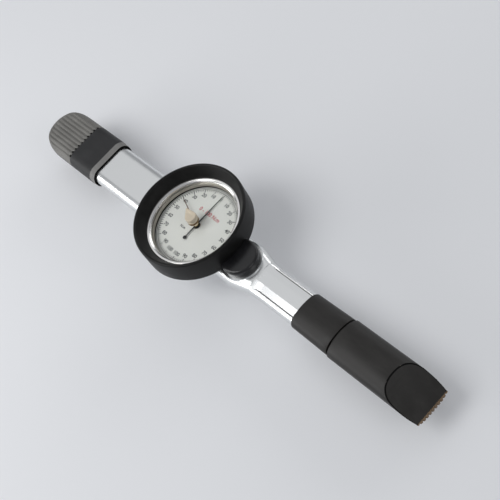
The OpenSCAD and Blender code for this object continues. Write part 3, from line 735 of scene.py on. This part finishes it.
NECK_FLAT = 4.0
NECK_FACET = (8.7, 1.15)
NECK_GROOVE = (9.05, 1.65)
NECK_SIDE_R = 5.83
NECK_SIDE_START = 64.3
NECK_BLEND_LEN = 9.0
NECK_PLUG = (21, 10.4)
NECK_PLUG_BORE = (17, 6.4)
NECK_BORE = (20.7, 8.6)


def neck_outline():
    """Section of the neck: flat top, sloped facets, a fine groove and round sides."""
    half_w, half_h = NECK_W / 2, NECK_H / 2
    quarter = [(0, half_h), (NECK_FLAT, half_h)]
    quarter += [(y, half_h - drop) for y, drop in (NECK_FACET, NECK_GROOVE)]
    quarter += arc_points(half_w - NECK_SIDE_R, 0, NECK_SIDE_R, NECK_SIDE_START, 0, 14)
    right = quarter + [(y, -z) for y, z in reversed(quarter[:-1])]
    return right + [(-y, z) for y, z in reversed(right[1:-1])]


def neck():
    """The neck, from the housing's end to the plug inside the handle, with its bore."""
    low, high = node_box("neck_tube")
    x0, x1, mouth = low.x, high.x, SLEEVE_LOW.x + 2.9
    outer = neck_outline()

    def oval(w, h):
        """A flat oval with its points in the directions of the outer section's points."""
        out = []
        for y, z in outer:
            length = math.hypot(y, z)
            out.append(oval_point(w, h, y / length, z / length))
        return out

    start = oval(NECK_W + 1.1, NECK_H + 0.4)

    def blend(share):
        """Section between the housing's end, share 0, and the plain neck, share 1."""
        pairs = zip(start, outer)
        return [(a[0] + (b[0] - a[0]) * share, a[1] + (b[1] - a[1]) * share) for a, b in pairs]

    rings = [(x0, blend(0.04))]
    for k in range(1, 13):
        share = k / 12
        rings.append((x0 + NECK_BLEND_LEN * share, blend(share * share * (3 - 2 * share))))
    plug, plug_bore, bore = oval(*NECK_PLUG), oval(*NECK_PLUG_BORE), oval(*NECK_BORE)
    rings += [(mouth, outer), (mouth, plug), (x1, plug), (x1, plug_bore)]
    rings += [(mouth - 3, plug_bore), (mouth - 3, bore), (x0, bore)]
    shell = loft("neck_shell", rings, "satin_tube", True, 7)
    sink_screws(shell, "neck_screws", "x")
    smooth_again(shell, 7)
    shell.data.materials.clear()
    shell.data.materials.append(MATERIALS["satin_tube"])
    shell.data.materials.append(MATERIALS["groove_shade_metal"])
    # painted shade: the groove's faces on each side take the dark groove metal
    for face in shell.data.polygons:
        x, y, z = face.center / MM
        if 8.7 < abs(y) < 9.5 and 4.6 < abs(z) < 5.7 and x0 + 4 < x < mouth - 1:
            face.material_index = 1
    settle(shell, "housing", "satin_tube", "neck_tube")


front_sleeve()
grip()
neck()


# ---------- dial guard, bezel and case ----------

GUARD_LOW, GUARD_HIGH = node_box("dial_guard")
GUARD_R = GUARD_HIGH.y
BEZEL_TOP = node_box("bezel")[1].z
CRYSTAL_LOW, CRYSTAL_HIGH = node_box("crystal")


def dial_guard():
    """Deep rubber guard round the bezel."""
    top, low = GUARD_HIGH.z, GUARD_LOW.z
    outline = [
        (35.9, low, 0.3),
        (GUARD_R, low, 1.0),
        (GUARD_R, top, 1.3),
        (GUARD_R - 2.0, top - 0.35, 1.6),
        (34.35, BEZEL_TOP + 0.3, 0.5),
        (34.2, BEZEL_TOP - 0.9, 0.1),
        (35.9, BEZEL_TOP - 1.2, 0.1),
    ]
    guard = revolve("dial_guard_shell", rounded(outline), "black_rubber", (DIAL_X, 0), 288)
    settle(guard, "bezel", "black_rubber", "dial_guard")


def bezel():
    """Bright ring that holds the crystal, and the wall between crystal and dial, in taupe metal as a painted dark
    reflection with a near-black foot of painted shadow.
    """
    lip_z = CRYSTAL_HIGH.z
    outline = [
        (35.8, 8.6, 0.2), (35.8, BEZEL_TOP - 1.3, 0.2), (34.1, BEZEL_TOP - 0.9, 0.1),
        (34.1, BEZEL_TOP, 0.5), (32.5, BEZEL_TOP, 0.3), (31.4, BEZEL_TOP - 0.85, 0.3),
        (30.9, lip_z + 0.05, 0.2), (31.65, lip_z + 0.02, 0.0), (31.65, 9.5, 0.0),
        (32.9, 9.5, 0.0), (32.9, 12.2, 0.0), (34.8, 12.2, 0.0), (34.8, 8.6, 0.2),
    ]
    ring = revolve("bezel_ring", rounded(outline, 5), "bezel_metal", (DIAL_X, 0), 288)
    settle(ring, "bezel", "bezel_metal", "bezel")
    outline = [
        (31.6, FACE_Z, 0.0), (31.6, CRYSTAL_LOW.z, 0.0), (30.6, CRYSTAL_LOW.z, 0.3),
        (30.45, FACE_Z + 1.7, 0.1), (30.45, FACE_Z + 0.3, 0.1), (30.9, FACE_Z, 0.0),
    ]
    # painted reflection: taupe metal stands in for the dark surroundings the wall reflects
    wall = revolve("dial_spacer_ring", rounded(outline, 4), "spacer_dark_reflection", (DIAL_X, 0), 288)
    wall.data.materials.append(MATERIALS["shade_black"])
    # painted shadow: the wall's foot next to the dial is near-black
    for face in wall.data.polygons:
        if face.center.z / MM < FACE_Z + 1.75:
            face.material_index = 1
    settle(wall, "bezel", "dark_ring", "dial_spacer")


dial_guard()
bezel()


# ---------- pivot cap ----------

def pivot_cap():
    """Black dome on the lobe, cut clear of the guard."""
    high = node_box("pivot_cap")[1]
    radius = high.y
    base = BODY_H / 2 + 0.02
    outline = [(0, base, 0), (radius, base, 0), (radius, high.z, 2.0), (0, high.z, 0)]
    cap = revolve("pivot_cap_dome", rounded(outline, 10), "black_moulding", (high.x - radius, 0), 192)
    cut(cap, extrude_outline("guard_clearance", disc_points(DIAL_X, 0, GUARD_R + 0.2, 288),
                             0, 40, "shade_black"))
    smooth_again(cap)
    settle(cap, "housing", "black_moulding", "pivot_cap")


pivot_cap()


# ---------- dial print ----------

LABELS = 21
LABEL_STEP = 360 / LABELS
LABEL_R = 24.0
LABEL_HEIGHT = 2.75
TICKS_PER_LABEL = 5
TICK_OUT = 28.7
UNIT_AT = (10.5, -128)
RANGE_AT = (11.2, 8)
PRINT_T = 0.06
FONT_SCALE = 1.38


def polar(radius, degrees):
    """A point on the dial; 0 degrees is the zero mark and angles run clockwise."""
    a = math.radians(90 - degrees)
    return DIAL_X + radius * math.cos(a), radius * math.sin(a)


def text_mesh(name, lines, material):
    """Thin raised lettering: lines of (text, x, y, height)."""
    parts = []
    for text, x, y, height in lines:
        curve = bpy.data.curves.new(name, "FONT")
        curve.body = text
        curve.size = height * MM * FONT_SCALE
        curve.align_x = "CENTER"
        curve.align_y = "CENTER"
        curve.extrude = PRINT_T * MM / 2
        curve.offset = 0.05 * MM
        curve.resolution_u = 4
        holder = bpy.data.objects.new(name, curve)
        bpy.context.scene.collection.objects.link(holder)
        bpy.context.view_layer.update()
        graph = bpy.context.evaluated_depsgraph_get()
        mesh = bpy.data.meshes.new_from_object(holder.evaluated_get(graph))
        bpy.data.objects.remove(holder)
        mesh.transform(Matrix.Translation((x * MM, y * MM, (FACE_Z + PRINT_T / 2) * MM)))
        parts.append(mesh)
    bm = bmesh.new()
    for mesh in parts:
        bm.from_mesh(mesh)
    bmesh.ops.scale(bm, vec=(1 / MM,) * 3, verts=bm.verts)
    return finish_mesh(name, bm, material)


def tick(bm, degrees, inner, outer, width):
    """One printed line on the dial, as a thin block."""
    a = math.radians(90 - degrees)
    along = Vector((math.cos(a), math.sin(a)))
    across = Vector((-along.y, along.x)) * width / 2
    centre = Vector((DIAL_X, 0))
    ends = [centre + along * inner - across, centre + along * outer - across,
            centre + along * outer + across, centre + along * inner + across]
    low = [bm.verts.new((p.x, p.y, FACE_Z)) for p in ends]
    high = [bm.verts.new((p.x, p.y, FACE_Z + PRINT_T)) for p in ends]
    bm.faces.new(low)
    bm.faces.new(high)
    for i in range(4):
        j = (i + 1) % 4
        bm.faces.new((low[i], low[j], high[j], high[i]))


def dial_print():
    """Numerals, unit, range, ticks and circles, 0 at the top and 100 at each end."""
    labels = []
    for k in range(-(LABELS // 2), LABELS // 2 + 1):
        x, y = polar(LABEL_R, k * LABEL_STEP)
        labels.append((str(abs(k) * 10), x, y, LABEL_HEIGHT))
    numerals = text_mesh("dial_numerals", labels, "dial_ink")
    settle(numerals, "bezel", "pointer_black")
    x, y = polar(*UNIT_AT)
    unit = text_mesh("dial_unit", [("N.m", x, y, 2.0)], "dial_ink")
    settle(unit, "bezel", "pointer_black")
    x, y = polar(*RANGE_AT)
    scale_name = text_mesh("dial_range", [("0 - 100 N.m", x, y, 3.0)], "dial_red")
    settle(scale_name, "bezel", "memory_brown")
    bm = bmesh.new()
    for k in range(LABELS * TICKS_PER_LABEL):
        major = k % TICKS_PER_LABEL == 0
        angle = k * LABEL_STEP / TICKS_PER_LABEL
        tick(bm, angle, 26.4 if major else 27.3, TICK_OUT, 0.50 if major else 0.32)
    settle(finish_mesh("dial_ticks", bm, "dial_ink"), "bezel", "pointer_black")
    circles = (("scale_circle", TICK_OUT, 0.30), ("border_circle", TICK_OUT + 1, 0.34))
    for name, radius, width in circles:
        outline = [(radius, FACE_Z), (radius + width, FACE_Z),
                   (radius + width, FACE_Z + PRINT_T), (radius, FACE_Z + PRINT_T)]
        settle(revolve(name, outline, "dial_ink", (DIAL_X, 0)), "bezel", "pointer_black")


dial_print()


# ---------- pointers and knob ----------

def turned(points, degrees):
    """Outline points drawn along +X, turned about the dial's centre."""
    a = math.radians(degrees)
    return [(DIAL_X + x * math.cos(a) - y * math.sin(a), x * math.sin(a) + y * math.cos(a))
            for x, y in points]


NEEDLE_T = 0.34
NEEDLE_EDGE = 0.06
POINTER_Z = 11.7
MEMORY_Z = 13.2
MEMORY_ANGLE = 90 + 4 * LABEL_STEP


def needle(name, outline, degrees, z, material):
    """A flat hand with softly rounded edges."""
    return extrude_outline(name, turned(outline, degrees), z, z + NEEDLE_T, material, NEEDLE_EDGE, 2)


def pointer():
    """Main pointer with a round tail, and its hub."""
    low, high = node_box("pointer")
    tip, tail = high.y - 0.05, -low.y - 1.3
    blob = arc_points(-tail, 0, 1.35, 14, 346, 24)
    outline = [(tip, 0.16), (2, 0.55)] + blob + [(2, -0.55), (tip, -0.16)]
    hand = needle("pointer_needle", outline, 90, POINTER_Z, "pointer_black")
    settle(hand, "pointer", "pointer_black", "pointer")
    hub_outline = [(0.92, 11.25, 0), (2.25, 11.25, 0.15), (2.25, 12.35, 0.35), (0.92, 12.58, 0.1)]
    hub = revolve("pointer_hub", rounded(hub_outline, 4), "pointer_black", (DIAL_X, 0), 64)
    settle(hub, "pointer", "pointer_black")


def memory_pointer():
    """Drag pointer and its hub."""
    outline = [(25.0, 0.16), (1.2, 0.6), (1.2, -0.6), (25.0, -0.16)]
    hand = needle("memory_needle", outline, MEMORY_ANGLE, MEMORY_Z, "memory_brown")
    settle(hand, "memory", "memory_brown", "memory_pointer")
    outline = [(1.22, 12.95, 0), (2.0, 12.95, 0.2), (2.0, 14.25, 0.3), (1.22, 14.25, 0)]
    hub = revolve("memory_hub", rounded(outline, 4), "brass", (DIAL_X, 0), 64)
    settle(hub, "memory", "brass")


def memory_knob():
    """Pear-shaped knob that points along the drag pointer, on a collar whose dark brown is partly its own colour
    and partly painted shade under the knob.
    """
    low, high = node_box("memory_knob")
    base_top = low.z + 1.6
    radius, tip_at, tip_r = 4.1, 8.1, 0.8
    centre = tip_at - tip_r
    lean = math.degrees(math.acos((radius - tip_r) / centre))
    outline = arc_points(0, 0, radius, lean, 360 - lean, 56)
    outline += arc_points(centre, 0, tip_r, -lean, lean, 14)
    # the collar's dark brown is partly painted shade under the knob
    base = extrude_outline("memory_knob_base", turned(outline, MEMORY_ANGLE),
                           low.z, base_top, "knob_collar_shaded", 0.25, 2)
    settle(base, "memory", "brass")
    top = extrude_outline("memory_knob_top", turned(outline, MEMORY_ANGLE),
                          base_top, high.z, "knob_cream", 0.75, 5)
    settle(top, "memory", "knob_cream", "memory_knob")


pointer()
memory_pointer()
memory_knob()


# ---------- finishes of the CAD nodes that stay ----------

NODE_FINISH = {entry["node"]: entry["material_slot"] for entry in frame["record"]["subparts"]}
for node_name, node in frame["nodes"].items():
    node.data.materials.clear()
    node.data.materials.append(MATERIALS.get(NODE_FINISH[node_name], MATERIALS["case_metal"]))
    node.data.shade_smooth()
    node.data.set_sharp_from_angle(angle=math.radians(30))


# ---------- stage, light and camera ----------

def area_light(name, place, target, size, power):
    """A soft rectangular light, in metres, aimed at the target."""
    light = bpy.data.lights.new(name, "AREA")
    light.shape = "RECTANGLE"
    light.size, light.size_y = size
    light.energy = power
    obj = bpy.data.objects.new(name, light)
    bpy.context.scene.collection.objects.link(obj)
    obj.location = place
    aim = Vector(target) - Vector(place)
    obj.rotation_euler = aim.to_track_quat("-Z", "Y").to_euler()


def show_through(tree, shader):
    """Makes a material clear from behind, so that the floor hides nothing from below."""
    out = next(n for n in tree.nodes if n.type == "OUTPUT_MATERIAL")
    geometry = tree.nodes.new("ShaderNodeNewGeometry")
    clear = tree.nodes.new("ShaderNodeBsdfTransparent")
    mix = tree.nodes.new("ShaderNodeMixShader")
    tree.links.new(geometry.outputs["Backfacing"], mix.inputs["Fac"])
    tree.links.new(shader.outputs[0], mix.inputs[1])
    tree.links.new(clear.outputs[0], mix.inputs[2])
    tree.links.new(mix.outputs[0], out.inputs[0])


FLOOR_GAP = 0.3
FLOOR_HALF = 4000
LIGHTS_AIM = (0.17, 0, 0)

# name, place and size in metres, power
LIGHTS = (
    ("key", (-0.10, -0.62, 1.00), (0.7, 0.7), 5.3),
    ("side", (-0.43, -0.84, 0.27), (0.9, 0.35), 4.0),
    ("top", (-0.45, 0.30, 0.95), (1.2, 1.0), 1.35),
    ("back", (0.1, 0.9, 0.35), (0.8, 0.3), 1.4),
    ("tail", (0.97, 0.16, 0.58), (0.35, 0.35), 0.7),
)


def stage():
    """Plain pale floor, an even world and five soft lights."""
    floor_z = node_box("drive_head")[0].z - FLOOR_GAP
    bm = bmesh.new()
    half = FLOOR_HALF
    corners = [(-half, -half), (half, -half), (half, half), (-half, half)]
    bm.faces.new([bm.verts.new((x, y, floor_z)) for x, y in corners])
    mat, tree, shader = new_material("floor")
    shader.inputs["Base Color"].default_value = (0.80, 0.81, 0.83, 1)
    shader.inputs["Roughness"].default_value = 0.85
    show_through(tree, shader)
    MATERIALS["floor"] = mat
    finish_mesh("floor", bm, "floor")
    world = bpy.data.worlds.new("studio")
    world.use_nodes = True
    background = world.node_tree.nodes["Background"]
    background.inputs["Color"].default_value = (0.86, 0.88, 0.92, 1)
    background.inputs["Strength"].default_value = 0.38
    bpy.context.scene.world = world
    for name, place, size, power in LIGHTS:
        area_light(name, place, LIGHTS_AIM, size, power)


def camera():
    """Looks at the dial from the handle side, with the handle toward the lower right."""
    right = Vector((0.6580, 0.6725, -0.3388))
    up = Vector((-0.4845, 0.7225, 0.4931))
    back = Vector((0.5764, -0.1603, 0.8013))
    lens = bpy.data.cameras.new("camera")
    lens.sensor_width = 36.0
    lens.lens = 73.4
    lens.clip_start = 0.01
    obj = bpy.data.objects.new("camera", lens)
    bpy.context.scene.collection.objects.link(obj)
    axes = Matrix((right, up, back)).transposed()
    offset = Vector((430.0, -98.6, 533.3))
    place = (Vector((DIAL_X, 0, FACE_Z)) + offset) * MM
    obj.matrix_world = Matrix.Translation(place) @ axes.to_4x4()
    bpy.context.scene.camera = obj


stage()
camera()
bpy.context.scene.view_settings.view_transform = "Standard"
